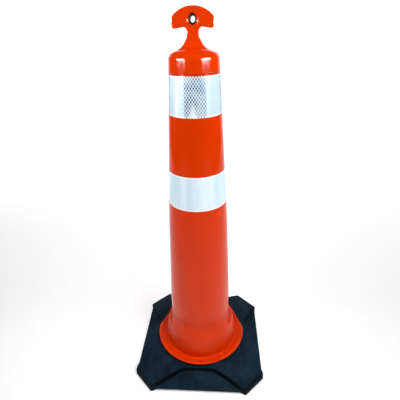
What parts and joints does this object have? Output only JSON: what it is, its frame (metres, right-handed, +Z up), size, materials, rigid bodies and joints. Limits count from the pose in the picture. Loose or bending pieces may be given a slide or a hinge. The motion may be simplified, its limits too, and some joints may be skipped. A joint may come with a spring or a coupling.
{
  "type": "delineator post",
  "caption": "Free-standing T-top delineator post: hollow tapered orange plastic post with wrapped reflective bands, twist-locked into a heavy square rubber base.",
  "frame": {"origin": "middle of the base on the ground", "axes": "+Z up along the post, X along the T handle, -Y towards the viewer of the handle's flat face"},
  "size_m": [0.44, 0.44, 1.148],
  "materials": {
    "post_plastic": "glossy blow-moulded low-density polyethylene, safety orange",
    "eyelet_rubber": "smooth black rubber",
    "reflective_sheeting": "white retroreflective sheeting with a clear glossy face",
    "base_rubber": "matte moulded black rubber, lightly scuffed"
  },
  "bodies": {
    "base": {"rubber_base": "base_rubber"},
    "post": {"t_handle": "post_plastic", "handle_eyelet": "eyelet_rubber", "upper_barrel": "post_plastic", "lower_barrel": "post_plastic", "post_bell": "post_plastic", "post_flange": "post_plastic", "upper_reflective_band": "reflective_sheeting", "lower_reflective_band": "reflective_sheeting"}
  },
  "joints": [
    {"name": "post_twist", "type": "hinge", "parent": "base", "child": "post", "pos_m": [0, 0, 0.037], "axis": [0, 0, 1], "range_deg": [0, 45]}
  ]
}
